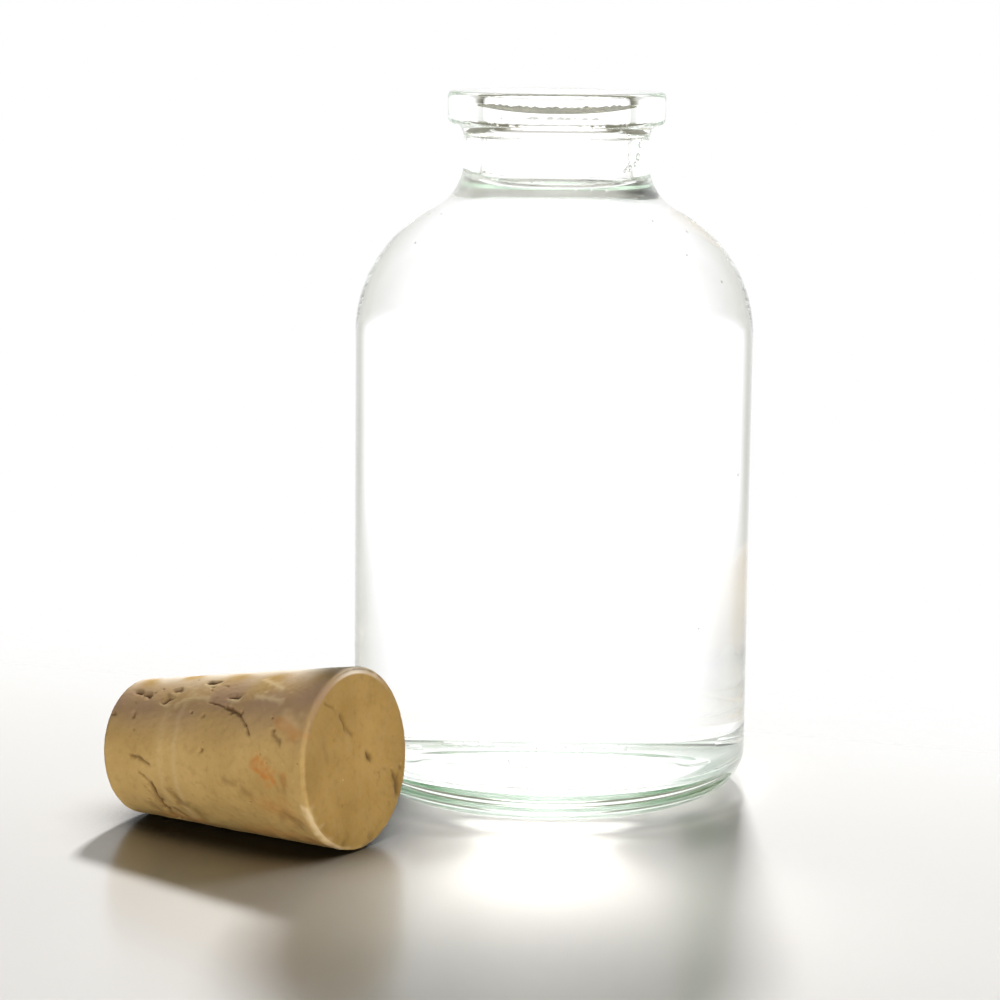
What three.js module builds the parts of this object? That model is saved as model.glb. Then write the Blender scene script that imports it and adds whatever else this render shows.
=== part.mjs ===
// A round clear glass bottle, filled with a clear liquid to the foot of its neck. Its tapered cork is
// taken out and lies on its side beside it.
// Millimetres, +Z up. The origin is on the bottle's axis, in the plane that the bottle stands on.
import * as THREE from 'three';

// Glass, outside
const bodyRadius = 25.0;
const panelRadius = 13.0; // flat middle of the underside
const pushUp = 0.5; // how far that middle is raised above the standing plane
const footInnerRadius = 15.0; // the bottle stands on a flat ring
const footWidth = 3.5;
const heelHeight = 5.2; // height of the rounded heel between the foot ring and the straight body
const shoulderFootZ = 58.0; // where the straight body ends and the shoulder begins
const shoulderRadius = 17.2;
const flareRadius = 7.0; // hollow curve between shoulder and neck
const neckRadius = 11.55;
const neckLength = 2.5; // straight part of the neck
const coveHeight = 1.95; // hollow curve under the lip
const lipRadius = 13.6;
const lipHeight = 4.07;
const lipEdge = 0.7; // rounding of the lip's two outer edges

// Glass, inside
const wall = 1.8; // glass at the body and the shoulder
const floorThickness = 4.0; // glass between the standing plane and the inner floor
const floorFillet = 2.7; // rounding between the inner floor and the wall
const boreRadius = 9.2;
const boreFlareRadius = 8.8; // inner hollow curve between shoulder and neck
const mouthEdge = 1.0; // rounding of the mouth's inner edge

// Liquid
const headspace = 11.1; // from the rim of the mouth down to the liquid's edge on the glass
const meniscusRise = 1.2; // how far that edge climbs above the flat middle of the surface
const meniscusWidth = 3.5;
const liquidClearance = 0.3; // all round, between liquid and glass

// Cork
const corkLength = 31.8;
const corkLargeRadius = 10.9;
const corkSmallRadius = 8.3;
const corkLargeEdge = 0.5; // rounding of the rim at the large end
const corkSmallEdge = 0.8; // rounding of the rim at the small end
const corkRestX = -22.25; // where the rim of the large end touches the table
const corkRestY = -33.8;
const corkHeading = 149.5; // degrees from +X, from the large end to the small end

// Fineness
const turnSteps = 48; // round the axis
const broadSteps = 10; // along the shoulder
const bendSteps = 6; // along the heel and the flare
const edgeSteps = 3; // along the small edges

const quarter = Math.PI / 2;
const half = Math.PI;

const footOuterRadius = footInnerRadius + footWidth;
const innerRadius = bodyRadius - wall;
const innerShoulderRadius = shoulderRadius - wall;

const glassMaterial = new THREE.MeshStandardMaterial({
  color: 0xdcebe4,
  roughness: 0.04,
  metalness: 0,
  transparent: true,
  opacity: 0.35,
});
const liquidMaterial = new THREE.MeshStandardMaterial({
  color: 0xe6f0ec,
  roughness: 0.02,
  metalness: 0,
  transparent: true,
  opacity: 0.3,
});
const corkMaterial = new THREE.MeshStandardMaterial({ color: 0xae8a52, roughness: 0.85, metalness: 0 });

function point(r, z) {
  return new THREE.Vector2(r, z);
}

// Points along part of an ellipse in the (r, z) plane, from one angle to the other.
function bend(centreR, centreZ, radiusR, radiusZ, fromAngle, toAngle, steps) {
  const backwards = toAngle < fromAngle;
  const curve = new THREE.EllipseCurve(centreR, centreZ, radiusR, radiusZ, fromAngle, toAngle, backwards);
  return curve.getPoints(steps);
}

// One profile out of several stretches, without the points that two stretches share.
function profileOf(...stretches) {
  const shared = 1e-6;
  return stretches.flat().filter((p, i, all) => i === 0 || p.distanceTo(all[i - 1]) > shared);
}

// The convex shoulder and the hollow flare above it: two arcs that meet in one tangent. The lower end
// stands on the straight wall, the upper end runs into the straight neck at the height topZ.
function shoulderAndFlare(wallR, shoulderR, neckR, flareR) {
  const shoulderCentre = wallR - shoulderR;
  const flareCentre = neckR + flareR;
  const across = flareCentre - shoulderCentre;
  const up = Math.sqrt((shoulderR + flareR) ** 2 - across ** 2);
  const meet = Math.atan2(up, across);
  const topZ = shoulderFootZ + up;
  const shoulder = bend(shoulderCentre, shoulderFootZ, shoulderR, shoulderR, 0, meet, broadSteps);
  const flare = bend(flareCentre, topZ, flareR, flareR, meet + half, half, bendSteps);
  return { topZ, points: profileOf(shoulder, flare) };
}

const outerShoulder = shoulderAndFlare(bodyRadius, shoulderRadius, neckRadius, flareRadius);
const neckTopZ = outerShoulder.topZ + neckLength;
const lipFootZ = neckTopZ + coveHeight;
const rimZ = lipFootZ + lipHeight;

// The inside of the bottle from the middle of its floor to the mouth, drawn in by a clearance.
function cavityProfile(clearance) {
  const wallR = innerRadius - clearance;
  const floorZ = floorThickness + clearance;
  const fillet = floorFillet - clearance;
  const shoulder = shoulderAndFlare(
    wallR,
    innerShoulderRadius - clearance,
    boreRadius - clearance,
    boreFlareRadius + clearance,
  );
  return profileOf(
    [point(0, floorZ)],
    bend(wallR - fillet, floorZ + fillet, fillet, fillet, -quarter, 0, bendSteps),
    shoulder.points,
    [point(boreRadius - clearance, rimZ - mouthEdge)],
  );
}

function turnedMesh(name, profile, material) {
  const geometry = new THREE.LatheGeometry(profile, turnSteps);
  geometry.rotateX(quarter);
  const mesh = new THREE.Mesh(geometry, material);
  mesh.name = name;
  return mesh;
}

function glassBottle() {
  const underside = [
    point(0, pushUp),
    point(panelRadius, pushUp),
    point(footInnerRadius, 0),
    point(footOuterRadius, 0),
  ];
  const heelInset = bodyRadius - footOuterRadius;
  const heel = bend(footOuterRadius, heelHeight, heelInset, heelHeight, -quarter, 0, bendSteps);
  const lipFootRadius = lipRadius - lipEdge;
  const coveWidth = lipFootRadius - neckRadius;
  const cove = bend(lipFootRadius, neckTopZ, coveWidth, coveHeight, half, quarter, bendSteps);
  const lip = [
    ...bend(lipFootRadius, lipFootZ + lipEdge, lipEdge, lipEdge, -quarter, 0, edgeSteps),
    ...bend(lipFootRadius, rimZ - lipEdge, lipEdge, lipEdge, 0, quarter, edgeSteps),
  ];
  const mouth = bend(boreRadius + mouthEdge, rimZ - mouthEdge, mouthEdge, mouthEdge, quarter, half, edgeSteps);
  const cavity = cavityProfile(0).reverse();
  const profile = profileOf(underside, heel, outerShoulder.points, cove, lip, mouth, cavity);
  return turnedMesh('glass_bottle', profile, glassMaterial);
}

// The part of a rising profile that lies below a height, closed by a point at that height.
function clipAt(profile, z) {
  const above = profile.findIndex((p) => p.y >= z);
  const low = profile[above - 1];
  const high = profile[above];
  const edge = low.clone().lerp(high, (z - low.y) / (high.y - low.y));
  return [...profile.slice(0, above), edge];
}

function liquidFill() {
  const edgeZ = rimZ - headspace;
  const sides = clipAt(cavityProfile(liquidClearance), edgeZ);
  const edgeRadius = sides[sides.length - 1].x;
  const flatRadius = edgeRadius - meniscusWidth;
  const meniscus = bend(flatRadius, edgeZ, meniscusWidth, meniscusRise, 0, -quarter, bendSteps);
  const profile = profileOf(sides, meniscus, [point(0, edgeZ - meniscusRise)]);
  return turnedMesh('liquid_fill', profile, liquidMaterial);
}

// The cork's axis runs from the small end at z = 0 to the large end. Laid down, it leans by its taper,
// so that its side lies along the table.
function corkStopper() {
  const sideLength = corkLength - corkSmallEdge - corkLargeEdge;
  const lean = Math.atan2(corkLargeRadius - corkSmallRadius, sideLength);
  const touchLength = corkLength - corkLargeEdge;
  const profile = profileOf(
    [point(0, 0)],
    bend(corkSmallRadius - corkSmallEdge, corkSmallEdge, corkSmallEdge, corkSmallEdge, -quarter, 0, edgeSteps),
    bend(corkLargeRadius - corkLargeEdge, touchLength, corkLargeEdge, corkLargeEdge, 0, quarter, edgeSteps),
    [point(0, corkLength)],
  );
  const cork = turnedMesh('cork_stopper', profile, corkMaterial);
  cork.rotation.y = lean - quarter;
  cork.position.set(
    corkLargeRadius * Math.sin(lean) + touchLength * Math.cos(lean),
    0,
    corkLargeRadius * Math.cos(lean) - touchLength * Math.sin(lean),
  );
  const lying = new THREE.Group();
  lying.position.set(corkRestX, corkRestY, 0);
  lying.rotation.z = THREE.MathUtils.degToRad(corkHeading);
  lying.add(cork);
  return lying;
}

const potionBottle = new THREE.Group();
potionBottle.add(glassBottle(), liquidFill(), corkStopper());

export default potionBottle;
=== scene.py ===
# %% [markdown]
# # A potion bottle and its cork
# The object has three pieces: a clear glass bottle, the clear liquid in it, and a tapered cork that lies
# beside it. The imported model is loaded first as a fixed frame. Each of the three gets a finer surface that
# takes the place of its solid.

import bpy
import numpy as np
from mathutils import Matrix


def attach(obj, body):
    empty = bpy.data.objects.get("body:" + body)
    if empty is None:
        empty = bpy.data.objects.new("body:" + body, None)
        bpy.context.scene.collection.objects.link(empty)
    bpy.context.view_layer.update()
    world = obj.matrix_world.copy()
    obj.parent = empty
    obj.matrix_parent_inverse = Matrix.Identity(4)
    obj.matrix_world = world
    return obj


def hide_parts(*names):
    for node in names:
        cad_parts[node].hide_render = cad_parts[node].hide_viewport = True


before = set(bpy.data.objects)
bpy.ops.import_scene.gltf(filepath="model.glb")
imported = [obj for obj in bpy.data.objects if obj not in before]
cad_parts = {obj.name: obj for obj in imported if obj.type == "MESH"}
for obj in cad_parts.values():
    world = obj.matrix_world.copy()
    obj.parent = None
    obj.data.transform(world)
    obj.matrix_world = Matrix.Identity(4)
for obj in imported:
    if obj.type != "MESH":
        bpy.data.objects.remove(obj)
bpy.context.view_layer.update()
scene = bpy.context.scene
scene.view_settings.view_transform = "Standard"

# %% [markdown]
# ## Camera
# The picture was taken with a long lens from a little above, about 40 centimetres away. A camera can be aimed
# with angles or with three directions. Here the three directions are worked out from a pitch, a yaw and a
# roll, because they then go straight into the camera's matrix and can be checked with a few sums.

# %% Camera at the photograph's place
MM = 0.001
lens_in_pixels = 3133.2
picture_width = 1000
camera_place = np.array([0.0, -392.98, 100.27]) * MM
pitch, yaw, roll = 0.1607, -0.0168, 0.0102

forward = np.array([np.sin(yaw) * np.cos(pitch), np.cos(yaw) * np.cos(pitch), -np.sin(pitch)])
level = np.cross(forward, [0, 0, 1])
level /= np.linalg.norm(level)
upright = np.cross(level, forward)
right = np.cos(roll) * level + np.sin(roll) * upright
up = np.cos(roll) * upright - np.sin(roll) * level

camera_data = bpy.data.cameras.new("camera")
camera_data.sensor_width = 36
camera_data.lens = lens_in_pixels / picture_width * camera_data.sensor_width
camera_data.clip_start = 0.01
camera = bpy.data.objects.new("camera", camera_data)
turned = np.eye(4)
turned[:3] = np.stack([right, up, -forward, camera_place], -1)
camera.matrix_world = Matrix(turned.tolist())
scene.collection.objects.link(camera)
scene.camera = camera
print("lens", round(camera_data.lens, 1), "mm at", camera_place.tolist())

# %% [markdown]
# ## Drawing profiles
# Glassware and corks are turned shapes: a profile line carried once round an axis. A profile could be drawn
# as a curve and spun, but a spun curve can end up inside out. Here it is an array of radii and heights in
# millimetres, put together from straight stretches and parts of ellipses.

# %% Profile helpers
def bend(centre, radii, start, end, steps):
    """Part of an ellipse: centre plus (first radius x cos a, second radius x sin a), a running from start to
    end in degrees."""
    a = np.radians(np.linspace(start, end, steps))
    return np.stack([centre[0] + radii[0] * np.cos(a), centre[1] + radii[1] * np.sin(a)], -1)


def straight(start, end, steps):
    """Evenly spaced points from start to end."""
    return np.linspace(start, end, steps)


def joined(*stretches):
    """One profile out of several stretches, without the points that two stretches share."""
    line = np.concatenate(stretches)
    apart = np.linalg.norm(np.diff(line, axis=0), axis=1) > 1e-6
    return line[np.concatenate([[True], apart])]


print("profile helpers ready")

# %% [markdown]
# ## Turning a profile into a closed skin
# The skin is a grid with the profile along its rows and one turn along its columns. The two ends of the
# profile lie on the axis, so each is one single point that closes the skin with a fan of triangles. The
# radius and the height may differ from column to column, which is how a real piece gets its unevenness.

# %% Skin helpers
def keep_mesh(name, points, faces, finish, marks=None):
    """A smooth mesh object at the origin. points are in millimetres, marks are numbers kept per point."""
    mesh = bpy.data.meshes.new(name)
    mesh.from_pydata((points * MM).tolist(), [], [f for block in faces for f in block.tolist()])
    mesh.polygons.foreach_set("use_smooth", np.ones(len(mesh.polygons), bool))
    for mark, values in (marks or {}).items():
        layer = mesh.attributes.new(mark, "FLOAT", "POINT")
        layer.data.foreach_set("value", values.astype(np.float32))
    mesh.materials.append(finish)
    mesh.update()
    piece = bpy.data.objects.new(name, mesh)
    scene.collection.objects.link(piece)
    triangles = sum(len(p.vertices) - 2 for p in mesh.polygons)
    print(name, len(mesh.vertices), "points", triangles, "triangles")
    return piece


def mark_faces(piece, name, quads, first_fan=False, last_fan=False):
    """Keeps a number per face: 1 for the quads of the grid that are asked for, and for the fans if asked."""
    layer = piece.data.attributes.new(name, "FLOAT", "FACE")
    fans = np.repeat([first_fan, last_fan], quads.shape[1])
    layer.data.foreach_set("value", np.concatenate([quads.ravel(), fans]).astype(np.float32))
    print(piece.name, "has", int(quads.sum()), "faces marked", name)


def turn_angles(turns):
    """The angles of the columns, in radians, once round."""
    return np.linspace(0, 2 * np.pi, turns, endpoint=False)


def all_round(profile, turns):
    """The radius and the height of every row and column: those of the profile, the same in each column."""
    return np.repeat(profile.T[:, :, None], turns, axis=2)


def turned_points(radius, height, origin=(0, 0, 0), axes=np.eye(3)):
    """radius x cos a along the first axis, radius x sin a along the second and height along the third, for
    every row and column of the grid, then one point for each end of the axis."""
    a = turn_angles(radius.shape[1])
    grid = np.stack([radius * np.cos(a), radius * np.sin(a), height], -1).reshape(-1, 3)
    ends = np.array([[0, 0, height[0].mean()], [0, 0, height[-1].mean()]])
    return np.concatenate([grid, ends]) @ np.asarray(axes) + np.asarray(origin)


def turned_faces(rows, turns):
    """Quads between neighbouring rows and columns, the last column joined to the first, and a fan of
    triangles at each end. They face outwards for a profile that has the material on its left."""
    column = np.arange(turns)
    beside = (column + 1) % turns
    row = np.arange(rows - 1)[:, None] * turns
    quads = np.stack([row + column, row + beside, row + turns + beside, row + turns + column], -1)
    last = (rows - 1) * turns
    end = np.full(turns, rows * turns)
    first_fan = np.stack([end, beside, column], -1)
    last_fan = np.stack([last + column, last + beside, end + 1], -1)
    return quads.reshape(-1, 4), first_fan, last_fan


def hump(value, middle, width):
    """1 where the value is in the middle, falling off on both sides as exp(-(distance / width) squared)."""
    return np.exp(-(((value - middle) / width) ** 2))


def ripple(angle, waves, seed):
    """Unevenness round a turned piece: the mean of cosines with the given numbers of waves per turn, each
    with a start of its own."""
    start = np.random.default_rng(seed).uniform(0, 2 * np.pi, len(waves))
    return np.cos(np.multiply.outer(angle, np.asarray(waves)) + start).mean(-1)


print("skin helpers ready")

# %% [markdown]
# ## Building finishes
# A finish is a small network of nodes. Each node could be added, set and joined line by line, but that hides
# what the network does. Three helpers keep it short: they start a finish, add any node and stretch a value.

# %% Node helpers
def new_finish(name):
    """A plain finish, the network of its nodes and the node of its surface."""
    finish = bpy.data.materials.new(name)
    finish.use_nodes = True
    return finish, finish.node_tree, finish.node_tree.nodes["Principled BSDF"]


def add_node(tree, kind, inputs=None, **settings):
    """A node with its settings. Each given input is linked to another node's output or set to a value."""
    node = tree.nodes.new("ShaderNode" + kind)
    for name, setting in settings.items():
        setattr(node, name, setting)
    for name, value in (inputs or {}).items():
        if isinstance(value, bpy.types.NodeSocket):
            tree.links.new(value, node.inputs[name])
        else:
            node.inputs[name].default_value = value
    return node


def stretch(tree, value, low, high, to_low=0.0, to_high=1.0, way="LINEAR"):
    """A value stretched from one range to another and kept inside it, evenly or as a soft step."""
    inputs = {"Value": value, "From Min": low, "From Max": high, "To Min": to_low, "To Max": to_high}
    return add_node(tree, "MapRange", inputs, interpolation_type=way).outputs["Result"]


print("node helpers ready")

# %% [markdown]
# ## Finishes of glass and liquid
# Clear soda glass bends light by an index of about 1.5 and is slightly green where it is seen edgeways. The
# green could be painted on, but then the thin front would be green too. A volume that absorbs a little red
# and blue gives it by thickness: almost none through the wall, plain to see in the heel. Water has an index
# of 1.33 and no colour in so small a bottle. Where the liquid wets the glass, light only passes from 1.5 to
# 1.33, so the wetted inside has the index 1.5 / 1.33 and hardly shines. The liquid's own sides lie against it
# and bend light no further, which is an index of 1. The foot ring is scuffed from standing about, so the glass
# is rough there. The faces of the mesh carry the numbers that choose between these surfaces.

# %% Clear finishes
def clear_surface(tree, index, roughness=0.0):
    """A transparent surface with the given index."""
    inputs = {"Base Color": (1, 1, 1, 1), "Roughness": roughness, "IOR": index, "Transmission Weight": 1.0}
    return add_node(tree, "BsdfPrincipled", inputs).outputs["BSDF"]


def choose(tree, plain, other, name):
    """Ends a finish in one of two surfaces: the other one on the faces that are marked with the name."""
    marked = add_node(tree, "Attribute", attribute_name=name).outputs["Fac"]
    either = add_node(tree, "MixShader", {"Fac": marked, 1: plain, 2: other})
    tree.links.new(either.outputs["Shader"], tree.nodes["Material Output"].inputs["Surface"])


def clear_finish(name, index, joined_index):
    """A clear body with one index against the air and another on the faces that are marked as joined."""
    finish, tree, plain = new_finish(name)
    tree.nodes.remove(plain)
    choose(tree, clear_surface(tree, index), clear_surface(tree, joined_index), "joined")
    print("finish", name, "index", index, "and", round(joined_index, 3))
    return finish


glass_index, liquid_index, scuffed_roughness = 1.5, 1.33, 0.35
bottle_glass = clear_finish("clear_green_edged_glass", glass_index, glass_index / liquid_index)
clear_liquid = clear_finish("clear_liquid", liquid_index, 1.0)
glass_tree = bottle_glass.node_tree
glass_end = glass_tree.nodes["Material Output"]
polished = glass_end.inputs["Surface"].links[0].from_socket
choose(glass_tree, polished, clear_surface(glass_tree, glass_index, scuffed_roughness), "scuffed")
edge_green = add_node(glass_tree, "VolumeAbsorption", {"Color": (0.42, 0.90, 0.52, 1), "Density": 3.2})
glass_tree.links.new(edge_green.outputs["Volume"], glass_end.inputs["Volume"])

# %% [markdown]
# ## The glass bottle
# The wall runs from the middle of the underside out to the foot ring, round the heel, up the body, over the
# shoulder and the neck to the lip, and then down the inside to the middle of the inner floor. The sizes are
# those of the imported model. The shoulder and the hollow curve above it are two arcs that meet in one tangent.

# %% Sizes of the bottle
near_axis = 0.6
body_radius, wall = 25.0, 1.8
panel_radius, push_up = 13.0, 0.5
panel_bevel, panel_drop = 0.6, 0.06
foot_inner, foot_outer = 15.0, 18.5
heel_height = 5.2
shoulder_foot, shoulder_radius = 58.0, 17.2
neck_radius, neck_length, flare_radius = 11.55, 2.5, 7.0
cove_height = 1.95
lip_radius, lip_height, lip_edge = 13.6, 4.07, 0.7
floor_height, floor_fillet = 4.0, 2.7
bore_radius, bore_flare, mouth_edge = 9.2, 8.8, 1.0
headspace = 11.1


def shoulder_and_flare(wall_r, shoulder_r, neck_r, flare_r, steps):
    """The convex shoulder arc and the hollow flare arc. Their centres are one sum of radii apart, so they
    touch on the line between the centres. Returns the points and the height where the neck begins."""
    centre, flare_centre = wall_r - shoulder_r, neck_r + flare_r
    rise = np.sqrt((shoulder_r + flare_r) ** 2 - (flare_centre - centre) ** 2)
    meet = np.degrees(np.arctan2(rise, flare_centre - centre))
    top = shoulder_foot + rise
    shoulder = bend((centre, shoulder_foot), (shoulder_r, shoulder_r), 0, meet, steps)
    flare = bend((flare_centre, top), (flare_r, flare_r), meet + 180, 180, steps * 2 // 3)
    return joined(shoulder, flare), top


outer_shoulder, neck_foot = shoulder_and_flare(body_radius, shoulder_radius, neck_radius, flare_radius, 44)
neck_top = neck_foot + neck_length
lip_foot = neck_top + cove_height
rim = lip_foot + lip_height
liquid_edge = rim - headspace
print("neck from", round(neck_foot, 2), "to", round(neck_top, 2), "rim at", round(rim, 3))

# %% [markdown]
# The profile could be one long list of points. Here every stretch is a line of its own that names its sizes,
# so a changed size moves only what hangs on it. The inside is a function, because the liquid needs the same
# line a little further out. It has a point at the liquid's edge, where the finish of the glass changes.

# %% Profile of the glass
lip_inset = lip_radius - lip_edge
outside = joined(
    straight((near_axis, push_up), (panel_radius - panel_bevel, push_up), 12),
    straight((panel_radius, push_up - panel_drop), (foot_inner, panel_drop), 5),
    straight((foot_inner + 0.5, 0), (foot_outer, 0), 6),
    bend((foot_outer, heel_height), (body_radius - foot_outer, heel_height), -90, 0, 26),
    straight((body_radius, heel_height), (body_radius, shoulder_foot), 14),
    outer_shoulder,
    straight((neck_radius, neck_foot), (neck_radius, neck_top), 7),
    bend((lip_inset, neck_top), (lip_inset - neck_radius, cove_height), 180, 90, 14),
    bend((lip_inset, lip_foot + lip_edge), (lip_edge, lip_edge), -90, 0, 10),
    straight((lip_radius, lip_foot + lip_edge), (lip_radius, rim - lip_edge), 8),
    bend((lip_inset, rim - lip_edge), (lip_edge, lip_edge), 0, 90, 10),
    straight((lip_inset, rim), (bore_radius + mouth_edge, rim), 8),
    bend((bore_radius + mouth_edge, rim - mouth_edge), (mouth_edge, mouth_edge), 90, 180, 12),
)


def cavity(into_glass):
    """The inside of the bottle from its floor to the bore, moved into the glass by the given distance. One of
    its points lies at the edge of the liquid."""
    wall_r = body_radius - wall + into_glass
    floor_z = floor_height - into_glass
    fillet = floor_fillet + into_glass
    inner_r = shoulder_radius - wall + into_glass
    bent, top = shoulder_and_flare(wall_r, inner_r, bore_radius + into_glass, bore_flare - into_glass, 40)
    line = joined(
        straight((near_axis, floor_z), (wall_r - fillet, floor_z), 22),
        bend((wall_r - fillet, floor_z + fillet), (fillet, fillet), -90, 0, 18),
        straight((wall_r, floor_z + fillet), (wall_r, shoulder_foot), 14),
        bent,
        straight((bore_radius + into_glass, top), (bore_radius + into_glass, rim - mouth_edge), 10),
    )
    above = np.argmax(line[:, 1] > liquid_edge)
    beside = line[above - 1:above + 1]
    edge = (np.interp(liquid_edge, beside[:, 1], beside[:, 0]), liquid_edge)
    return np.insert(line, above, edge, axis=0)


glass_profile = joined(outside, cavity(0.0)[::-1])
print("glass profile", len(glass_profile), "points", len(outside), "of them outside")

# %% [markdown]
# Moulded glass is never quite even. The underside of the lip is bumpy and the inner floor has a slight
# swell, and both show as broken dark lines where light bends through them. The unevenness goes inwards
# only, so the bottle keeps its outer size. The wetted part of the inside is marked on its faces: it ends where
# the liquid's edge has climbed to, which is higher on the left and on the right than in front.

# %% The glass bottle
def climb(angle, left=1.1, right=0.5, width=40):
    """How far the liquid's edge climbs the glass at an angle, in millimetres: two soft humps, the higher one on
    the left and the lower one on the right, as wide as the given degrees."""
    turned_by = np.degrees(np.arctan2(np.sin(angle), np.cos(angle)))
    return left * hump(np.abs(turned_by), 180, width) + right * hump(turned_by, 0, width)


glass_turns = 288
bump_depth, swell_height = 0.2, 0.10
around = turn_angles(glass_turns)
radius, height = all_round(glass_profile, glass_turns)
inside = np.arange(len(glass_profile))[:, None] >= len(outside)
lip_bumps = 0.5 + 0.5 * ripple(around, [23, 41, 58, 77, 96], 3)
near_lip_foot = hump(height - lip_foot, 0.25, 0.35) * (radius > neck_radius + 0.5) * ~inside
radius = radius - bump_depth * lip_bumps * near_lip_foot
floor_swell = ripple(around, [2, 3, 5, 7], 5) * hump(height, floor_height, 2.0)
height = height + swell_height * floor_swell * inside * (radius / body_radius) ** 2
glass_bottle = keep_mesh(
    "glass_bottle_wall", turned_points(radius, height), turned_faces(*radius.shape), bottle_glass
)
middle = 0.5 * (height[:-1] + height[1:])
wetted = (inside[:-1] | inside[1:]) & (middle < liquid_edge + climb(around))
mark_faces(glass_bottle, "joined", wetted, last_fan=True)
foot_rows = (middle < 0.1) & (radius[:-1] > foot_inner) & ~inside[:-1]
mark_faces(glass_bottle, "scuffed", foot_rows)
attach(glass_bottle, "bottle")
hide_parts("glass_bottle")

# %% [markdown]
# ## The liquid
# The liquid fills the bottle to the foot of the neck and climbs the glass a little at its edge. With a gap
# between liquid and glass, light would bounce off a film of air that isn't there. So the liquid's skin lies
# a twentieth of a millimetre inside the glass, and its top is a flat disc with a quarter of an ellipse as rim.
# The top few millimetres are then drawn up the wall by as much as the edge climbs at each angle.

# %% The liquid
soak = 0.05
meniscus_rise, meniscus_width = 1.2, 3.5
drawn_up_from, first_on_wall = 6.0, 30
sides = cavity(soak)
sides = sides[sides[:, 1] <= liquid_edge]
wetted_radius = sides[-1, 0]
rim_curve = bend(
    (wetted_radius - meniscus_width, liquid_edge), (meniscus_width, meniscus_rise), 0, -90, 26
)
level_top = straight(rim_curve[-1], (near_axis, liquid_edge - meniscus_rise), 12)
liquid_profile = joined(sides, rim_curve, level_top)
liquid_turns = 288
radius, height = all_round(liquid_profile, liquid_turns)
on_sides = np.arange(len(liquid_profile))[:, None] < len(sides)
lowest = np.where(on_sides, liquid_edge - drawn_up_from, liquid_edge - meniscus_rise)
lift = ((height - lowest) / (liquid_edge - lowest)).clip(0, 1) * climb(turn_angles(liquid_turns))
wall_line = cavity(soak)[first_on_wall:]
lifted_by = np.interp(height + lift, wall_line[:, 1], wall_line[:, 0])
lifted_by = lifted_by - np.interp(height, wall_line[:, 1], wall_line[:, 0])
radius, height = radius + lifted_by * (lift > 0), height + lift
liquid = keep_mesh("liquid_body", turned_points(radius, height), turned_faces(*radius.shape), clear_liquid)
side_quads = np.repeat(on_sides[1:], liquid_turns, axis=1)
mark_faces(liquid, "joined", side_quads, first_fan=True)
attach(liquid, "bottle")
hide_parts("liquid_fill")

# %% [markdown]
# ## Bubbles and drops
# Fresh liquid leaves small bubbles on the glass, and a few drops stay in the neck. Each is a flattened ball.
# They could be scattered by a modifier, but here each has its own place on the inside of the glass: an angle,
# a height and a size. One ball is worked out once and then moved to all the places in one step.

# %% Places on the inside of the glass
inner_line = cavity(0.0)
rising = inner_line[:, 1] > floor_height


def on_inner_wall(angle, z, inwards):
    """Points at the given angles in degrees and heights, the given distance in from the inner wall."""
    r = np.interp(z, inner_line[rising, 1], inner_line[rising, 0]) - inwards
    a = np.radians(angle)
    return np.stack([r * np.cos(a), r * np.sin(a), z], -1)


def balls(name, centres, sizes, finish, rows=9, turns=14):
    """Closed balls: each is centre + size x (sin b cos a, sin b sin a, -cos b), b from pole to pole and a once
    round. sizes has a half width, depth and height for every ball."""
    b = np.linspace(0, np.pi, rows + 2)[1:-1]
    unit = turned_points(*all_round(np.stack([np.sin(b), -np.cos(b)], -1), turns))
    unit[-2:, 2] = -1, 1
    points = centres[:, None, :] + sizes[:, None, :] * unit
    step = np.arange(len(centres))[:, None, None] * len(unit)
    faces = [(block + step).reshape(-1, block.shape[1]) for block in turned_faces(rows, turns)]
    return keep_mesh(name, points.reshape(-1, 3), faces, finish)


# angle, height and radius of the bubbles on the wall of the shoulder and the body
wall_bubbles = np.array([
    (-50.5, 72.1, 0.14), (-38.4, 71.7, 0.17), (-23.4, 70.3, 0.15), (-6.5, 69.0, 0.17), (-36.4, 68.2, 0.14),
    (-24.1, 64.9, 0.17), (-172.6, 71.4, 0.15), (-159.6, 71.8, 0.13), (-152.8, 68.9, 0.15), (-18.8, 41.4, 0.19),
    (-40.4, 23.4, 0.15), (-17.7, 18.6, 0.16), (-76.5, 76.3, 0.18), (-65.5, 76.2, 0.16), (-54.5, 76.0, 0.18),
    (35.0, 71.4, 0.15), (62.0, 69.8, 0.14), (118.0, 70.6, 0.16), (150.0, 65.4, 0.15), (95.0, 33.0, 0.17),
])
bubble_gap = 0.12
bubble_size = np.repeat(wall_bubbles[:, 2:], 3, axis=1)
bubble_place = on_inner_wall(wall_bubbles[:, 0], wall_bubbles[:, 1], bubble_gap + wall_bubbles[:, 2])
wall_bubble_piece = balls("bubbles_on_the_wall", bubble_place, bubble_size, clear_liquid)
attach(wall_bubble_piece, "bottle")

# %% [markdown]
# On the inner floor lie flat specks, most of them towards the back, and drops hang in the neck above the
# liquid. They could be bumps in the glass, but as small clear bodies each can be put where it is seen.

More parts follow.
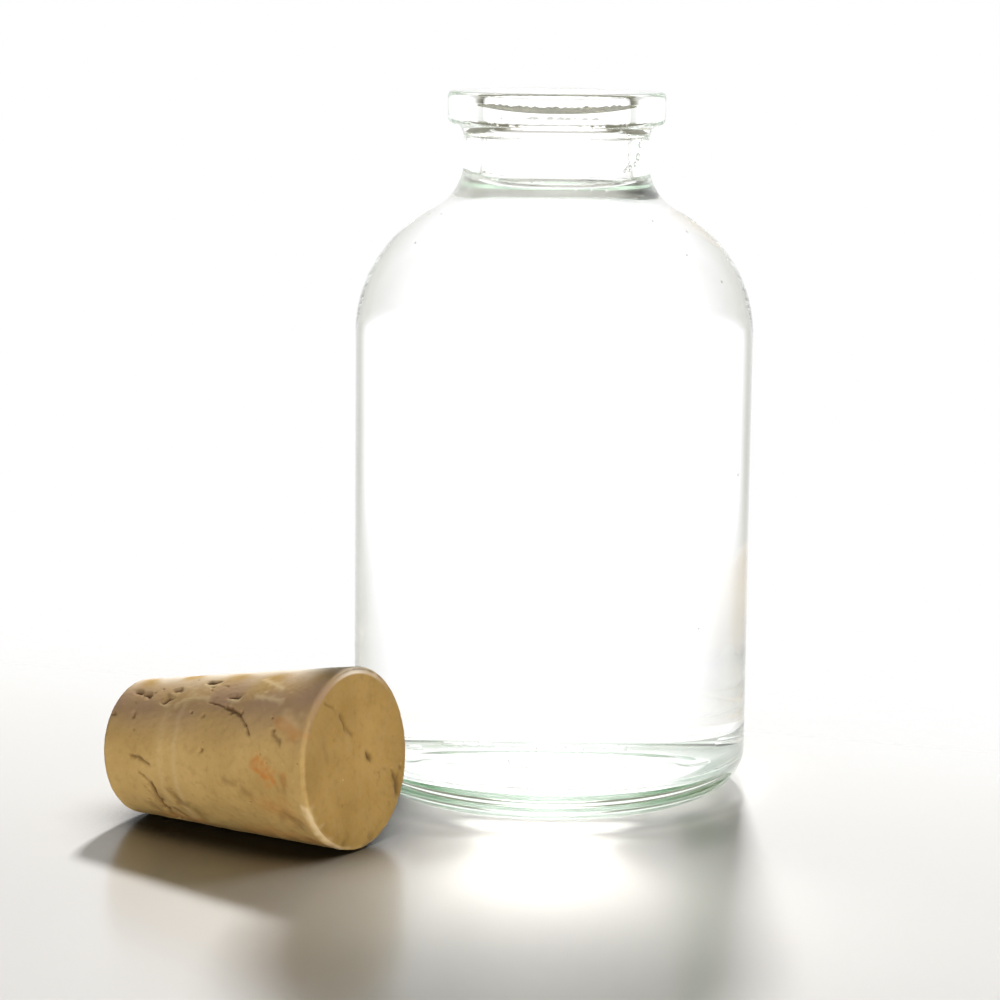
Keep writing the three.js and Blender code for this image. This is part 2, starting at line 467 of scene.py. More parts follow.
# %% Specks on the inner floor and drops in the neck
# across, depth, half width and half depth of each speck, in millimetres
specks = np.array([
    (-11.7, 7.2, 0.7, 0.3), (-8.0, 11.6, 0.9, 0.25), (-6.6, 11.9, 0.8, 0.2), (-5.3, 12.0, 0.7, 0.3),
    (-4.2, -0.4, 0.5, 0.5), (-3.4, -2.2, 0.5, 0.4), (-2.7, -4.6, 0.6, 0.4), (-1.5, 8.8, 0.5, 0.3),
    (1.0, 10.4, 0.5, 0.3), (2.5, 8.5, 0.6, 0.3), (5.3, 11.5, 0.7, 0.3), (6.1, 10.2, 0.6, 0.3),
    (13.9, 12.6, 0.9, 0.6), (14.6, 9.8, 1.0, 0.5), (-13.0, -6.0, 0.4, 0.3), (9.0, -9.0, 0.4, 0.3),
])
speck_lift, speck_half_height = 0.2, 0.16
speck_place = np.column_stack([specks[:, :2], np.full(len(specks), floor_height + speck_lift)])
speck_size = np.column_stack([specks[:, 2:], np.full(len(specks), speck_half_height)])
speck_piece = balls("specks_on_the_inner_floor", speck_place, speck_size, clear_liquid)
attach(speck_piece, "bottle")

# angle, height and radius of the drops in the neck
drops = np.array([
    (-15.1, 81.8, 0.45), (-18.1, 80.3, 0.50), (-22.4, 79.4, 0.38), (-28.8, 78.9, 0.42), (-12.0, 82.6, 0.30),
    (-179.7, 82.4, 0.40), (-34.0, 78.6, 0.30), (70.0, 80.2, 0.35), (130.0, 81.0, 0.30),
])
drop_place = on_inner_wall(drops[:, 0], drops[:, 1], 0.0)
drop_size = drops[:, 2:] * np.array([0.7, 0.7, 1.15])
drop_piece = balls("drops_in_the_neck", drop_place, drop_size, clear_liquid, rows=11, turns=18)
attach(drop_piece, "bottle")

# %% [markdown]
# A thin dark film lies on the inside of the mouth, in an arc on the side towards the viewer, and draws the dark
# arc seen there. Its upper edge is ragged. It could be a stain in the finish of the glass, but a clear finish
# has no colour to stain. So it is a strip of its own, a few hundredths of a millimetre thick, just under the
# surface of the bore.

# %% Film in the mouth
film_columns, film_middle, film_reach = 160, -90, 62
film_foot, film_head, film_front, film_back = 85.75, 86.55, 9.21, 9.25
film_angle = np.linspace(film_middle - film_reach, film_middle + film_reach, film_columns)
to_end = np.abs(film_angle - film_middle) / film_reach
film_low = film_foot + 0.75 * to_end ** 2
film_high = film_head + 0.45 * to_end ** 2 + 0.16 * ripple(np.radians(film_angle), [17, 31, 53, 71], 8)
film_high = film_low + (film_high - film_low) * np.sqrt(np.clip(1 - to_end ** 6, 0.01, 1))
film_r = np.array([film_front, film_back, film_back, film_front])[:, None] + np.zeros(film_columns)
film_z = np.stack([film_low, film_low, film_high, film_high])
film_a = np.radians(film_angle)
film_points = np.stack([film_r * np.cos(film_a), film_r * np.sin(film_a), film_z], -1).reshape(-1, 3)
corner, column = np.arange(4)[:, None], np.arange(film_columns - 1)
next_corner = (corner + 1) % 4
film_faces = np.stack([
    corner * film_columns + column, corner * film_columns + column + 1,
    next_corner * film_columns + column + 1, next_corner * film_columns + column,
], -1).reshape(-1, 4)
film_ends = np.array([[3, 2, 1, 0], [0, 1, 2, 3]]) * film_columns + np.array([[0], [film_columns - 1]])
film_finish, _, film_surface = new_finish("dark_film")
film_surface.inputs["Base Color"].default_value = (0.30, 0.29, 0.20, 1)
film_surface.inputs["Roughness"].default_value = 0.6
film_surface.inputs["Alpha"].default_value = 0.6
film = keep_mesh("film_in_the_mouth", film_points, (film_faces, film_ends), film_finish)
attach(film, "bottle")

# %% [markdown]
# ## The form of the cork
# The cork is a cone with small round edges, lying on its side. Its own axes are: along, from the small end to
# the large end; top, across it and upwards; near, across it and towards the viewer. A place on its side is
# given by millimetres from the small end and degrees round from the top.

# %% Sizes and axes of the cork
cork_length, large_radius, small_radius = 31.8, 10.9, 8.3
large_edge, small_edge = 0.5, 0.8
rest_place, heading = np.array([-22.25, -33.8, 0.0]), np.radians(149.5)
side_length = cork_length - large_edge - small_edge
lean = np.arctan2(large_radius - small_radius, side_length)
outwards = np.array([np.cos(heading), np.sin(heading), 0.0])
upwards = np.array([0.0, 0.0, 1.0])
along = -(outwards * np.cos(lean) - upwards * np.sin(lean))
top = outwards * np.sin(lean) + upwards * np.cos(lean)
near = np.cross(along, top)
cork_axes = np.stack([top, near, along])
large_middle = rest_place + large_radius * top + large_edge * along
small_middle = large_middle - cork_length * along
print("cork from", small_middle.round(2), "to", large_middle.round(2), "lean", round(np.degrees(lean), 2))


def side_radius(z):
    """Radius of the cone at a distance from the small end: it grows evenly between the two round edges."""
    share = np.clip((z - small_edge) / side_length, 0, 1)
    return small_radius + (large_radius - small_radius) * share


# %% [markdown]
# ## Marks on the cork
# Natural cork has pores, cracks and stains. They could be left to noise alone, but then no two would look
# like the ones in the picture. Here the plain ones are drawn as strokes on the cork: each is a broken line
# with a width. One function gives how close every point of the grid is to a stroke, and the same closeness
# then presses the surface in and colours it, so that a crack is dark where it is deep.

# %% Stroke helpers
def on_side(path):
    """Cork coordinates of places on the side: (radius cos a, radius sin a, distance from the small end)."""
    z, a = np.asarray(path, float).T
    r, a = side_radius(z), np.radians(a)
    return np.stack([r * np.cos(a), r * np.sin(a), z], -1)


def on_large_face(path):
    """Cork coordinates of places on the large end, each given by degrees from the top and a radius."""
    a, r = np.asarray(path, float).T
    a = np.radians(a)
    return np.stack([r * np.cos(a), r * np.sin(a), np.full_like(r, cork_length)], -1)


def cork_noise(points, size, seed, waves=28):
    """Smooth unevenness between about -1 and 1: a sum of plane waves of about the given size in
    millimetres, with random directions and starts."""
    rng = np.random.default_rng(seed)
    direction = rng.normal(size=(waves, 3))
    length = size * rng.uniform(0.7, 1.5, waves)
    direction *= (2 * np.pi / length / np.linalg.norm(direction, axis=1))[:, None]
    return np.cos(points @ direction.T + rng.uniform(0, 2 * np.pi, waves)).sum(1) / np.sqrt(waves)


def stroke(points, path, width, ragged=0.35, seed=1):
    """1 on a broken line, falling to 0 beside it as exp(-(distance / width) squared). The distance to each
    stretch is that to the nearest point between its ends, and noise makes the edge ragged."""
    start, end = path[:-1], path[1:]
    if len(path) == 1:
        start = end = path
    run = end - start
    size = np.maximum((run ** 2).sum(1), 1e-9)
    off = points[:, None, :] - start
    share = np.clip((off * run).sum(-1) / size, 0, 1)
    distance = np.linalg.norm(off - share[..., None] * run, axis=-1).min(1)
    distance = distance * (1 + ragged * cork_noise(points, 1.6 * width + 0.5, seed))
    return hump(distance, 0, width)


def most(points, strokes, place):
    """The strongest of several strokes at every point. Each is a path, a width and a strength."""
    closeness = [s * stroke(points, place(path), w, seed=i + 1) for i, (path, w, s) in enumerate(strokes)]
    return np.max(closeness, axis=0)


print("stroke helpers ready")

# %% [markdown]
# The grid of the cork has rows along the profile and columns round the axis, close enough for a pore a third
# of a millimetre wide. It could be tipped onto the table at once, but marks are easier to place on an upright
# cork, so it is tipped only when its mesh is made.

# %% Grid of the cork
cork_turns, cork_near_axis = 400, 0.35
cork_profile = joined(
    straight((cork_near_axis, 0), (small_radius - small_edge, 0), 26),
    bend((small_radius - small_edge, small_edge), (small_edge, small_edge), -90, np.degrees(-lean), 8),
    straight((small_radius, small_edge + 0.2), (large_radius, cork_length - large_edge - 0.2), 150),
    bend((large_radius - large_edge, cork_length - large_edge), (large_edge, large_edge), 0, 90, 9),
    straight((large_radius - large_edge, cork_length), (cork_near_axis, cork_length), 44),
)
cork_r, cork_z = all_round(cork_profile, cork_turns)
spot = turned_points(cork_r, cork_z)
around_deg = np.degrees(np.arctan2(spot[:, 1], spot[:, 0]))
from_axis = np.hypot(spot[:, 0], spot[:, 1])
print("cork grid", cork_r.shape)

# %% [markdown]
# The marks below were placed one by one. Pores are short and deep, cracks are long and thin, umber and rust are
# stains, and pale streaks are dry wood; the long umber and rust strokes low on the near side are painted shade
# next to the table. Four broader marks follow the form of the cork instead: a dark line on the large rim,
# painted shade in grey on the upper side, a painted highlight almost white on top, and a browner cut face.

# %% Pores, cracks and stains
# path of (millimetres from the small end, degrees from the top), width in millimetres, strength
pores = [
    ([(13.1, 16.5), (14.1, 18.6)], 0.34, 1.0), ([(8.9, 26.7), (9.5, 25.7)], 0.34, 0.7),
    ([(8.5, 36), (8.3, 40)], 0.36, 0.9), ([(18.4, 36), (19.5, 36.5)], 0.32, 0.8),
    ([(2.6, 25.6), (3.6, 28.7)], 0.30, 0.8), ([(4.4, 29.7), (5.4, 32.8)], 0.30, 0.9), ([(16.0, 77)], 0.22, 0.9),
    ([(15.4, 51.5)], 0.2, 0.5), ([(4.1, 50), (4.2, 53)], 0.22, 0.6), ([(0.8, 50)], 0.3, 0.8),
]
cracks = [
    ([(15.3, 40), (16.9, 42), (18.4, 45)], 0.14, 0.7), ([(18.4, 45), (19.9, 48), (20.8, 50.5)], 0.26, 1.0),
    ([(20.8, 50.5), (22.3, 58.5), (23.1, 65)], 0.15, 0.8), ([(4.6, 85), (5.8, 86), (7.5, 91)], 0.2, 0.75),
    ([(5.8, 99), (6.6, 103), (7.3, 108)], 0.14, 0.7), ([(7.3, 108), (7.7, 120), (8.0, 134)], 0.3, 1.0),
    ([(26.6, 64), (27.9, 69)], 0.26, 0.6),
]
umber_and_bottom_shade = [
    ([(19.4, 97), (20.6, 99)], 0.5, 0.55), ([(22.0, 103), (23.0, 106)], 0.55, 0.5),
    ([(10.8, 117), (11.7, 124)], 0.6, 0.7), ([(28.3, 92), (28.6, 99)], 0.45, 0.45),
    ([(27.8, 118), (29.2, 128)], 0.9, 0.55), ([(7.5, 122), (8.1, 140)], 0.9, 0.7),
    ([(6.0, 128), (6.5, 140)], 0.6, 0.6), ([(13.0, 128), (13.3, 138)], 0.8, 0.5),
    # the first stroke on the next line, along the whole underside at 154 to 156 degrees, is painted shade next
    # to the table
    ([(4.0, 156), (16.0, 154), (30.0, 156)], 1.5, 0.6), ([(9.5, 131), (10.4, 140)], 0.5, 0.8),
]
rust_and_bottom_shade = [
    ([(24.7, 84), (25.6, 88), (26.6, 92)], 0.75, 0.6), ([(24.3, 82), (24.9, 80)], 0.42, 0.9),
    ([(25.6, 83)], 0.4, 1.0), ([(24.5, 87), (25.1, 89)], 0.4, 1.0), ([(26.3, 87)], 0.38, 0.9),
    ([(25.5, 91), (26.1, 92)], 0.42, 1.0), ([(26.9, 92), (27.2, 95)], 0.4, 0.9),
    ([(26.2, 97)], 0.3, 0.7), ([(27.4, 88)], 0.25, 0.6), ([(28.6, 90), (28.8, 96)], 0.35, 0.5),
    ([(27.7, 56), (28.8, 59), (30.0, 64)], 0.9, 0.5), ([(25.3, 112), (28.3, 117)], 1.3, 0.35),
    # the two long strokes on the next line, low on the near side at 143 to 146 degrees, are painted shade next
    # to the table
    ([(6.5, 146), (9.0, 143), (12.0, 146)], 1.0, 0.55), ([(20.0, 146), (26.0, 143), (30.0, 146)], 1.3, 0.45),
]
pale = [
    ([(21.6, 18), (23.3, 23), (25.5, 29)], 0.4, 0.9), ([(22.4, 36), (24.3, 38), (26.3, 40.5)], 0.4, 0.7),
    ([(10.3, 42), (12.3, 36), (14.9, 37)], 0.35, 0.6), ([(9.6, 22), (10.8, 23)], 0.35, 0.5),
    ([(18.6, 39), (19.8, 39.5)], 0.35, 0.8), ([(27.9, 52), (29.7, 58)], 0.7, 0.6),
    ([(8.1, 42), (9.1, 43)], 0.3, 0.6), ([(12.9, 21), (14.4, 23)], 0.3, 0.8),
    ([(31.2, 112), (31.3, 130), (31.2, 150), (31.0, 162)], 0.5, 1.1), ([(25.1, 86)], 0.2, 0.3),
    ([(26.0, 90)], 0.2, 0.3),
]
# on the large end a path is one of (degrees from the top, radius)
face_pores = [
    ([(36, 9.5), (30, 7.9)], 0.16, 0.45), ([(25, 6.2), (24, 5.5), (24, 4.5)], 0.3, 0.6),
    ([(21, 4.2), (7, 2.9)], 0.22, 0.6), ([(-89, 2.4), (-99, 3.0)], 0.32, 1.0),
    ([(-115, 8.5), (-119, 9.3)], 0.45, 0.8), ([(-121, 9.6), (-125, 10.0)], 0.5, 0.9),
    ([(-107, 9.6)], 0.35, 0.6), ([(64, 6.9), (77, 6.2)], 0.5, 0.25), ([(160, 10.2)], 0.5, 0.5),
    ([(-169, 10.1)], 0.6, 0.4),
]
stained_face_pores = face_pores[4:7]
pore_close = np.maximum(most(spot, pores, on_side), most(spot, face_pores, on_large_face))
crack_close = most(spot, cracks, on_side)
umber_and_shade_close = np.maximum(most(spot, umber_and_bottom_shade, on_side), 0.6 * most(spot, stained_face_pores, on_large_face))
rust_and_shade_close = most(spot, rust_and_bottom_shade, on_side)
on_large_end = spot[:, 2] > cork_length - large_edge
rim_line = hump(from_axis - large_radius, -0.3, 0.16) * on_large_end
rim_line *= np.clip((30 - around_deg) / 30, 0, 1) * (0.7 + 0.3 * cork_noise(spot, 2.0, 31)).clip(0, 1)
umber_and_shade_close = np.maximum(umber_and_shade_close, rim_line)
# painted shade: a greyer band on the upper near side, where the lamps leave the cork dim
painted_upper_shade = hump(around_deg, 38, 24) * (0.8 + 0.35 * cork_noise(spot, 6.0, 32)).clip(0, 1)
# painted highlight: an almost white band along the top, where the lamp behind catches it
painted_top_highlight = hump(around_deg, -8, 22) * (0.85 + 0.4 * cork_noise(spot, 5.0, 33)).clip(0, 1)
near_side = from_axis > side_radius(spot[:, 2]) - 0.8
painted_top_highlight *= near_side
painted_upper_shade *= near_side
cut_face = np.clip((large_radius - 0.2 - from_axis) / 0.4, 0, 1) * on_large_end
pale_close = most(spot, pale, on_side)
print("marks drawn", len(pores) + len(cracks) + len(umber_and_bottom_shade) + len(rust_and_bottom_shade) + len(pale) + len(face_pores))

# %% [markdown]
# The back, the underside and the small end don't show in the picture. Cork has short pores all over, so a
# seeded scatter gives those sides the same kind of marks.

# %% Pores on the far sides
rng = np.random.default_rng(11)
far_count, small_count = 26, 9
far_places = np.column_stack([rng.uniform(2.0, 30.0, far_count), rng.uniform(150.0, 345.0, far_count)])
far_pores = [
    (
        [tuple(p), tuple(p + (rng.uniform(0.3, 1.3), rng.uniform(-4, 4)))],
        rng.uniform(0.18, 0.4), rng.uniform(0.4, 1.0),
    )
    for p in far_places
]


def on_small_face(path):
    """Cork coordinates of places on the small end, each given by degrees from the top and a radius."""
    return on_large_face(path) * (1, 1, 0)


small_pores = [
    ([(rng.uniform(0, 360), rng.uniform(1, 7))], rng.uniform(0.2, 0.45), rng.uniform(0.3, 0.9))
    for _ in range(small_count)
]
pore_close = np.maximum(pore_close, most(spot, far_pores, on_side))
pore_close = np.maximum(pore_close, most(spot, small_pores, on_small_face))
print("pores on the far sides", len(far_pores) + len(small_pores))

# %% [markdown]
# The marks press the surface inwards. Two soft lines run round the cork where a bottle's mouth once held it,
# and the lower left of the large rim has been rubbed to a wider bevel.

# %% Surface of the cork
upper_ring, lower_ring, held_up_to = 11.7, 9.4, 11.9
ring_lines = hump(spot[:, 2], upper_ring, 0.45) + 0.6 * hump(spot[:, 2], lower_ring, 0.5)
on_the_side = from_axis > side_radius(spot[:, 2]) - 0.4
bevel, bevel_angle, bevel_spread = 1.2, 138, 26
rubbed = hump(around_deg, bevel_angle, bevel_spread)
rubbed *= np.clip((spot[:, 2] - cork_length + bevel) / bevel, 0, 1)
rubbed *= np.clip((from_axis - large_radius + bevel) / bevel, 0, 1)
swell = cork_noise(spot, 9.0, 21) + 0.5 * cork_noise(spot, 3.0, 22)
grain = cork_noise(spot, 0.8, 23)
pressed = (
    0.45 * pore_close + 0.40 * crack_close + 0.10 * umber_and_shade_close + 0.04 * (0.7 + 0.6 * swell).clip(0)
    + 0.012 * (1 + grain).clip(0) - 0.05 * pale_close * on_the_side + 0.75 * rubbed
    + 0.02 * on_the_side * (1 - ring_lines.clip(0, 1)) * (spot[:, 2] < held_up_to)
).clip(0)
line_in = np.gradient(cork_profile, axis=0)
line_in = np.stack([-line_in[:, 1], line_in[:, 0]], -1)
line_in /= np.linalg.norm(line_in, axis=1, keepdims=True)
depth = pressed[:-2].reshape(cork_r.shape)
cork_r, cork_z = cork_r + line_in[:, :1] * depth, cork_z + line_in[:, 1:] * depth
cork_points = turned_points(cork_r, cork_z, small_middle, cork_axes)
print("deepest mark", round(depth.max(), 2), "mm")

# %% [markdown]
# ## The finish of the cork
# Cork is a warm tan, dull and finely grained, with slow patches of lighter and darker wood. The grain and
# the patches are noise in the piece's own coordinates. The strokes are kept as numbers on the mesh, and each
# mixes in a colour of its own: dark brown pores, umber and rust stains that also paint shade along the
# underside, pale dry streaks, painted shade in grey on the upper side and a painted highlight almost white on
# top. Only the cut face is multiplied, so that it keeps its grain.

# %% Finish and mesh of the cork
cork_finish, cork_tree, cork_surface = new_finish("tan_cork")
place = add_node(cork_tree, "TexCoord").outputs["Object"]


def noise(size_mm, detail, roughness=0.55):
    """Noise in the piece's own coordinates, about the given size in millimetres."""
    inputs = {"Vector": place, "Scale": 1000.0 / size_mm, "Detail": detail, "Roughness": roughness}
    return add_node(cork_tree, "TexNoise", inputs).outputs["Fac"]


def tinted(under, share, colour, blend="MIX"):
    """A colour laid over another, or multiplied with it, by a share between 0 and 1."""
    inputs = {"Factor": share, 6: under, 7: (*colour, 1)}
    return add_node(cork_tree, "Mix", inputs, data_type="RGBA", blend_type=blend).outputs[2]


def mark(name):
    """A number kept per point of the mesh."""
    return add_node(cork_tree, "Attribute", attribute_name=name).outputs["Fac"]


colour = tinted((0.60, 0.395, 0.145, 1), stretch(cork_tree, noise(7.0, 2), 0.35, 0.68), (0.49, 0.312, 0.105))
colour = tinted(colour, stretch(cork_tree, noise(0.9, 3), 0.52, 0.75, 0, 0.45), (0.34, 0.20, 0.065))
colour = tinted(colour, stretch(cork_tree, noise(0.45, 2), 0.55, 0.8, 0, 0.35), (0.66, 0.46, 0.20))
colour = tinted(colour, mark("cut"), (0.72, 0.67, 0.50), "MULTIPLY")
# the upper grey is painted shade and the near-white top a painted highlight; umber and rust also paint shade
# low on the near side
mark_colours = {
    "upper_shade": (0.41, 0.26, 0.17), "top_highlight": (0.93, 0.83, 0.71), "pale": (0.80, 0.62, 0.36),
    "rust_and_bottom_shade": (0.56, 0.21, 0.045), "umber_and_bottom_shade": (0.20, 0.105, 0.03), "pore": (0.12, 0.06, 0.02),
}
for name, tint in mark_colours.items():
    colour = tinted(colour, mark(name), tint)
cork_tree.links.new(colour, cork_surface.inputs["Base Color"])
cork_tree.links.new(stretch(cork_tree, noise(1.5, 2), 0.3, 0.7, 0.72, 0.9), cork_surface.inputs["Roughness"])
fine = add_node(cork_tree, "Bump", {"Height": noise(0.35, 4, 0.65), "Strength": 0.35, "Distance": 0.00012})
cork_tree.links.new(fine.outputs["Normal"], cork_surface.inputs["Normal"])

# shares of the same marks: the upper grey is painted shade, the near-white top a painted highlight
shares = {
    "upper_shade": 0.85 * painted_upper_shade,
    "pore": np.maximum(0.85 * pore_close, 0.95 * crack_close),
    "umber_and_bottom_shade": 0.8 * umber_and_shade_close,
    "rust_and_bottom_shade": 0.85 * rust_and_shade_close,
    "pale": np.maximum(0.75 * pale_close, 0.22 * ring_lines * on_the_side),
    "top_highlight": painted_top_highlight,
    "cut": cut_face,
}
cork = keep_mesh(
    "cork_stopper_skin", cork_points, turned_faces(*cork_r.shape), cork_finish,
    {name: share.clip(0, 1) for name, share in shares.items()},
)
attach(cork, "cork")
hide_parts("cork_stopper")

# %% [markdown]
# ## The floor
# The bottle stands on a pale, slightly glossy table that melts into a white background. A large plane would
# show its edge, so the floor is a disc that turns transparent towards the back and the rim, and the white
# surround shows through it.

# %% Disc of the floor
floor_rings, floor_turns, floor_depth = np.linspace(4, 420, 40), 96, -0.05
rings = np.repeat(floor_rings[:, None], floor_turns, axis=1)
disc = turned_points(rings, np.full_like(rings, floor_depth))[:-1]
quads, fan, _ = turned_faces(len(floor_rings), floor_turns)
floor_finish, floor_tree, table_top = new_finish("pale_table")
table_top.inputs["Roughness"].default_value = 0.2
table_top.inputs["IOR"].default_value = 1.5
spot_on_floor = add_node(floor_tree, "TexCoord").outputs["Object"]
print("floor", floor_rings[-1], "mm in radius")

# %% [markdown]
# The table's colour is painted lighter to the back, as painted light, and darker under the bottle, as painted
# shade. Close to the cork, where little light gets in, lamps alone leave the shadow too pale. There the share
# of open sky over each spot dims the colour and the shine as well: painted shade.

# %% Floor
def fading(operation, towards, start, end):
    """A share that grows softly from 0 to 1 while a length of the place on the floor goes from start to end."""
    measure = add_node(floor_tree, "VectorMath", {0: spot_on_floor, 1: towards}, operation=operation)
    return stretch(floor_tree, measure.outputs["Value"], start, end, way="SMOOTHSTEP")


# painted light: the table's colour grows lighter towards the back
light_towards_back = fading("DOT_PRODUCT", (0.7, 1, 0), -0.13, 0.09)
table_tones = {"Factor": light_towards_back, 6: (0.72, 0.705, 0.69, 1), 7: (0.81, 0.805, 0.795, 1)}
table_colour = add_node(floor_tree, "Mix", table_tones, data_type="RGBA")
# painted shade: the table is darker under the bottle
shade_under_bottle = stretch(floor_tree, fading("LENGTH", (0, 0, 0), 0.0235, 0.0275), 0, 1, 0.55, 1)
shaded_under_bottle = add_node(
    floor_tree, "VectorMath", {0: table_colour.outputs[2], "Scale": shade_under_bottle}, operation="SCALE"
)
# painted shade: less open sky near the cork dims the table's colour and shine
nearness = add_node(floor_tree, "AmbientOcclusion", {"Distance": 0.02}, samples=8)
open_share = stretch(floor_tree, nearness.outputs["AO"], 0.42, 0.85, 0.03, 1)
beside_cork = fading("DOT_PRODUCT", (-1, 0, 0), 0.012, 0.022)
shaded = add_node(
    floor_tree, "Mix", {"Factor": beside_cork, 6: shaded_under_bottle.outputs["Vector"], 7: open_share},
    data_type="RGBA", blend_type="MULTIPLY",
)
floor_tree.links.new(shaded.outputs[2], table_top.inputs["Base Color"])
shine = add_node(floor_tree, "Mix", {"Factor": beside_cork, "A": 1.0, "B": open_share})
half_shine = add_node(floor_tree, "Math", {0: shine.outputs["Result"], 1: 0.5}, operation="MULTIPLY")
floor_tree.links.new(half_shine.outputs["Value"], table_top.inputs["Specular IOR Level"])
behind_share = fading("DOT_PRODUCT", (0.35, 1, 0), 0.0, 0.07)
rim_share = fading("LENGTH", (0, 0, 0), 0.2, 0.4)
gone_share = add_node(floor_tree, "Math", {0: behind_share, 1: rim_share}, operation="MAXIMUM")
clear = add_node(floor_tree, "BsdfTransparent").outputs["BSDF"]
melt = add_node(
    floor_tree, "MixShader", {"Fac": gone_share.outputs["Value"], 1: table_top.outputs["BSDF"], 2: clear}
)
floor_tree.links.new(melt.outputs["Shader"], floor_tree.nodes["Material Output"].inputs["Surface"])
floor = keep_mesh("floor", disc, (quads[:, ::-1], fan[:, ::-1]), floor_finish)

# %% [markdown]
# ## The light
# The picture is lit from behind: a bright background, one soft lamp behind and above, and a weak fill from the
# front. Clear glass has no colour of its own, so it shows what is around it. Cards and screens could be built
# for that, but levels of light by direction are easier to set. A few helpers add up such levels.

# %% Sums of levels
world = bpy.data.worlds.new("studio")
scene.world = world
world.use_nodes = True
sky = world.node_tree
background = sky.nodes["Background"]
ray = add_node(sky, "LightPath").outputs
where = add_node(sky, "TexCoord").outputs["Generated"]
split = add_node(sky, "SeparateXYZ", {"Vector": where})


def ramp(value, low, high, to_low, to_high):
    """A soft step from one level to another while the value goes from low to high."""
    return stretch(sky, value, low, high, to_low, to_high, "SMOOTHSTEP")


def sums(operation, first, second):
    """One sum of two values, each a socket or a number."""
    return add_node(sky, "Math", {0: first, 1: second}, operation=operation).outputs["Value"]


def product(first, *others):
    """All the values multiplied."""
    for other in others:
        first = sums("MULTIPLY", first, other)
    return first


def mixed(under, over, share):
    """One level where the share is 0, another where it is 1, and a mix of both between."""
    return sums("ADD", under, product(share, sums("SUBTRACT", over, under)))


print("surround helpers ready")

# %% [markdown]
# The surround is white behind and greyer to the sides, which draws the edges of the glass. A dim band above
# the horizon shows only through the neck, where a ray has crossed few surfaces. Table and cork get a weak even
# level, because the lamps do the rest.

# %% Walls of the surround
ambient, few_surfaces = 0.085, 5.5
front_level, top_level, high_level = 0.9, 1.2, 0.22
level_part = add_node(sky, "VectorMath", {0: where, 1: (1, 1, 0)}, operation="MULTIPLY")
along_floor = add_node(sky, "VectorMath", {0: level_part.outputs["Vector"]}, operation="LENGTH")
behind = sums("DIVIDE", split.outputs["Y"], sums("MAXIMUM", along_floor.outputs["Value"], 0.001))
slope = split.outputs["Z"]
low_side = sums("SUBTRACT", ramp(slope, -0.2, -0.13, 0.62, 0.4), ramp(slope, -0.078, -0.06, 0.0, 0.25))
low_dip = sums("MAXIMUM", ramp(behind, 0.42, 0.62, 0.25, 1.0), ramp(behind, 0.1, 0.3, 1.0, 0.25))
near_horizon = product(ramp(slope, -0.078, -0.06, 0.0, 0.85), ramp(slope, 0.03, 0.2, 1.0, 0.5))
side_level = sums("ADD", product(low_side, low_dip), near_horizon)
white_level = sums("ADD", 1.0, product(ray["Is Transmission Ray"], 0.3))
white_from = ramp(slope, -0.225, -0.15, 1.1, 0.74)
white_share = ramp(behind, 0.55, white_from, 0.0, 1.0)
walls = mixed(side_level, white_level, white_share)
front_share = ramp(behind, -0.6, -0.2, 1.0, 0.0)
walls = sums("ADD", walls, product(front_share, sums("SUBTRACT", front_level, side_level)))
high = product(
    ramp(slope, 0.2, 0.32, 0.0, 1.0), ramp(behind, 0.975, 0.998, 1.0, 0.55),
    ray["Is Transmission Ray"], sums("LESS_THAN", ray["Transmission Depth"], few_surfaces),
)
walls = mixed(walls, high_level, high)
seen = mixed(walls, top_level, ramp(slope, 0.55, 0.85, 0.0, 1.0))
before_table = sums("LESS_THAN", ray["Diffuse Depth"], 0.5)
after_table = sums("GREATER_THAN", ray["Diffuse Depth"], 0.5)
through_glass = sums("MAXIMUM", ray["Is Glossy Ray"], ray["Is Transmission Ray"])
level_of_light = mixed(ambient, seen, product(through_glass, before_table))
print("surround: ambient", ambient, "front", front_level, "overhead", top_level)

# %% [markdown]
# Some levels are seen only through glass: the glow of the lamp, and through the body a dim card to the left.
# The light that the bottle throws on the table is such a glow too, found by rays that go from the table back
# through the glass. What the camera sees directly is plain white.

# %% Surround
glow_place = np.array([0.012, 0.9, 0.68])
glow_direction = glow_place / np.linalg.norm(glow_place)
glow_cone, glare_cone = np.cos(np.radians([15, 6])), np.cos(np.radians([16, 6]))
lamp_glow_level, lamp_glare_level = 25.0, 4.0
glow_inputs = {0: where, 1: tuple(glow_direction)}
towards_glow = add_node(sky, "VectorMath", glow_inputs, operation="DOT_PRODUCT").outputs["Value"]
to_the_eye = product(ray["Is Transmission Ray"], before_table)
to_the_floor = product(ray["Is Transmission Ray"], after_table)
under_glass = product(ramp(slope, 0.3, 0.6, 4.6, 0.3), ramp(behind, 0.75, 0.95, 0.2, 1.0))
under_glass = sums("ADD", under_glass, ramp(slope, 0.8, 0.95, 0.0, 2.4))
thrown = sums("ADD", ramp(towards_glow, *glow_cone, 0.0, lamp_glow_level), under_glass)
glare = ramp(towards_glow, *glare_cone, 0.0, lamp_glare_level)
lamp_glow = sums("ADD", product(to_the_floor, thrown), product(to_the_eye, glare))
card = product(
    ramp(slope, 0.2, 0.3, 0.0, 1.0), ramp(slope, 0.6, 0.75, 1.0, 0.0),
    ramp(split.outputs["X"], -0.45, -0.3, 1.0, 0.0), ramp(behind, 0.5, 0.65, 0.0, 1.0),
    sums("GREATER_THAN", ray["Transmission Depth"], few_surfaces), to_the_eye,
)
warm = add_node(sky, "CombineColor")
warmths, glow_colour, card_dims = (0.0, 0.03, 0.22), (1.0, 0.97, 0.92), (0.60, 0.50, 0.58)
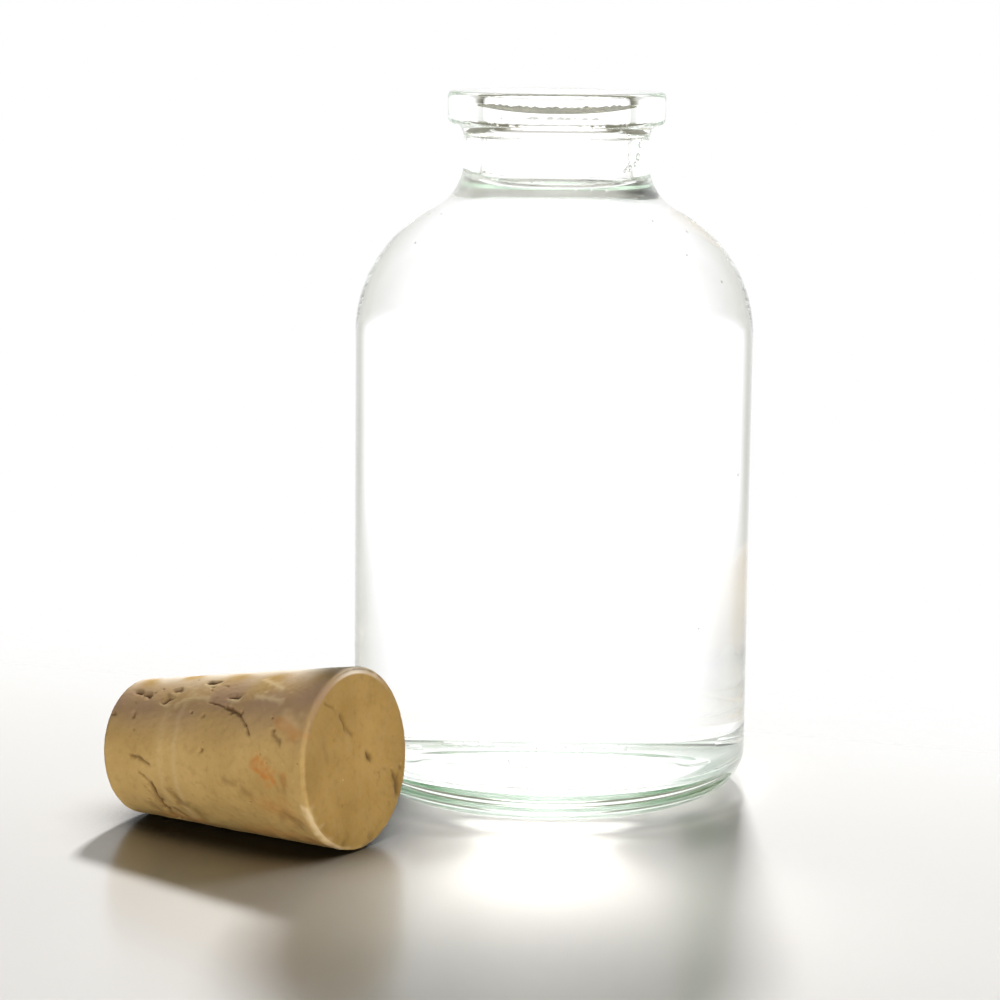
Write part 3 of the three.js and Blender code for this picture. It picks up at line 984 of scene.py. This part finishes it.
for channel, warmth, glow, dim in zip(warm.inputs, warmths, glow_colour, card_dims):
    tone = product(level_of_light, sums("POWER", sums("MINIMUM", level_of_light, 1.0), warmth))
    tone = product(tone, sums("SUBTRACT", 1.0, product(card, dim)))
    tone = sums("ADD", tone, product(lamp_glow, glow))
    sky.links.new(sums("MAXIMUM", tone, ray["Is Camera Ray"]), channel)
sky.links.new(warm.outputs["Color"], background.inputs["Color"])
background.inputs["Strength"].default_value = 1.0
print("surround: glow", lamp_glow_level, "glare", lamp_glare_level)

# %% [markdown]
# Two lamps light the cork and the table. A sun lamp would give hard shadows, so they are rectangles: a small
# bright one behind and a long low one in front. Neither shows in the glass, where the glow stands in for the
# first. Light in thick glass is thrown back and forth many times before it gets out. With few bounces those
# paths end in black, so many are allowed.

# %% Lamps
def soft_lamp(name, place, target, size, power):
    """A rectangular lamp at a place, turned so that its -Z looks at the target."""
    lamp_data = bpy.data.lights.new(name, "AREA")
    lamp_data.shape = "RECTANGLE"
    lamp_data.size, lamp_data.size_y = size
    lamp_data.energy = power
    lamp = bpy.data.objects.new(name, lamp_data)
    away = np.asarray(place, float) - np.asarray(target, float)
    away /= np.linalg.norm(away)
    side = np.cross([0, 0, 1], away)
    side /= np.linalg.norm(side)
    frame_of_lamp = np.eye(4)
    frame_of_lamp[:3] = np.stack([side, np.cross(away, side), away, place], -1)
    lamp.matrix_world = Matrix(frame_of_lamp.tolist())
    lamp.visible_glossy = lamp.visible_transmission = False
    scene.collection.objects.link(lamp)
    print("lamp", name, power, "W")


soft_lamp("lamp_behind", (0.055, 0.9, 0.77), (0, 0, 0), (0.12, 0.12), 21.8)
soft_lamp("fill_in_front", (0.12, -1.0, 0.035), (0, 0, 0.02), (0.7, 0.06), 7.8)
most_bounces = 96
scene.cycles.max_bounces = scene.cycles.transmission_bounces = scene.cycles.glossy_bounces = most_bounces
scene.cycles.sample_clamp_indirect = 0.0
scene.cycles.blur_glossy = 0.0
print("at most", most_bounces, "bounces")
